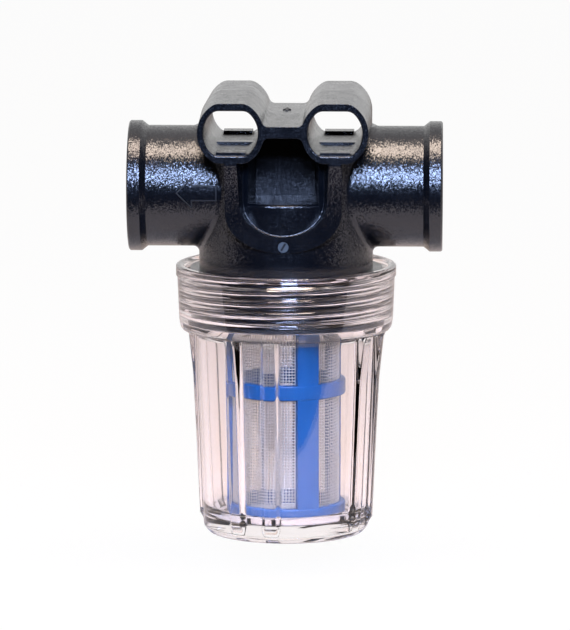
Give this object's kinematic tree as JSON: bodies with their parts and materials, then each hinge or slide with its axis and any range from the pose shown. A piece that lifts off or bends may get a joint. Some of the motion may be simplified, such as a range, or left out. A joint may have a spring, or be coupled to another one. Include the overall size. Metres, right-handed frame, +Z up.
{
  "type": "sea water strainer",
  "caption": "In-line sea water strainer: black head with two threaded ports and twin mounting sockets, and a clear screw-on bowl with a filter basket.",
  "frame": {"origin": "on the bowl's axis, in the plane that the bowl's foot ring stands on", "axes": "+Z up along the bowl's axis, +X along the pipe towards the inlet port, the twin sockets run along Y"},
  "size_m": [0.114, 0.0804, 0.1625],
  "materials": {
    "black_nylon": "black glass-filled nylon, spark-eroded",
    "clear_bowl": "clear moulded polycarbonate",
    "black_rubber": "black nitrile rubber",
    "blue_plastic": "blue moulded polypropylene",
    "stainless_mesh": "woven stainless wire",
    "stainless_screw": "turned stainless"
  },
  "bodies": {
    "head": {"strainer_head": "black_nylon", "bleed_screw": "stainless_screw", "bleed_screw_seal": "black_rubber"},
    "gasket": {"bowl_gasket": "black_rubber"},
    "bowl": {"bowl": "clear_bowl", "basket_frame": "blue_plastic", "basket_mesh": "stainless_mesh", "basket_floor_mesh": "stainless_mesh"}
  },
  "joints": [
    {"name": "bowl_drop", "type": "slide", "parent": "head", "child": "gasket", "axis": [0, 0, -1], "range_m": [0, 0.0126]},
    {"name": "bowl_turn", "type": "hinge", "parent": "gasket", "child": "bowl", "pos_m": [0, 0, 0.08], "axis": [0, 0, -1], "range_deg": [0, 1080]}
  ],
  "couplings": [
    {"joint": "bowl_drop", "follows": "bowl_turn", "m_per_rad": 0.00066838}
  ]
}
